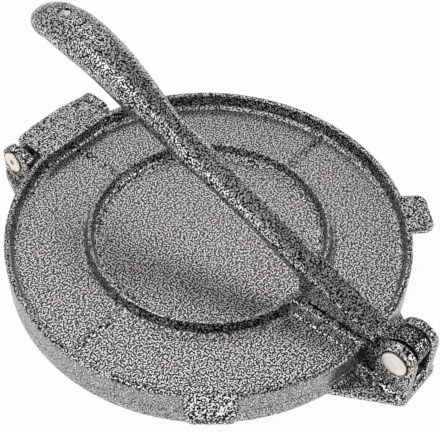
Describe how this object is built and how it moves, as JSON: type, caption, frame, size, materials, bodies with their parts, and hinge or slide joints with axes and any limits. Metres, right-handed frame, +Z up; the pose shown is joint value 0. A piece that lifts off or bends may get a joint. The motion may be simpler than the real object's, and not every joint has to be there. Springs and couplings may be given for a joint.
{
  "type": "tortilla press",
  "caption": "Cast tortilla press: two hinged round plates closed by a long curved lever that presses a ribbed upper plate.",
  "frame": {"origin": "on the axis of the round plates, on the face the base stands on", "axes": "+Z up; +Y from the lever clevis at the front to the plate hinge at the rear; +X to the right"},
  "size_m": [0.204, 0.2485, 0.1052],
  "materials": {
    "hammered_paint": "glossy hammered silver-on-black paint over sand-cast iron, fine mottled texture",
    "rivet_nickel": "bright warm nickel plate, smooth formed heads"
  },
  "bodies": {
    "base": {"base": "hammered_paint", "lever_pin": "rivet_nickel", "hinge_pin": "rivet_nickel"},
    "top_plate": {"top_plate": "hammered_paint"},
    "lever": {"lever": "hammered_paint"}
  },
  "joints": [
    {"name": "plate_hinge", "type": "hinge", "parent": "base", "child": "top_plate", "pos_m": [0, 0.1115, 0.0155], "axis": [-1, 0, 0], "range_deg": [0, 32]},
    {"name": "lever_swing", "type": "hinge", "parent": "base", "child": "lever", "pos_m": [0, -0.1177, 0.0239], "axis": [1, 0, 0], "range_deg": [0, 160]}
  ],
  "couplings": [
    {"joint": "lever_swing", "follows": "plate_hinge", "ratio": 5}
  ]
}
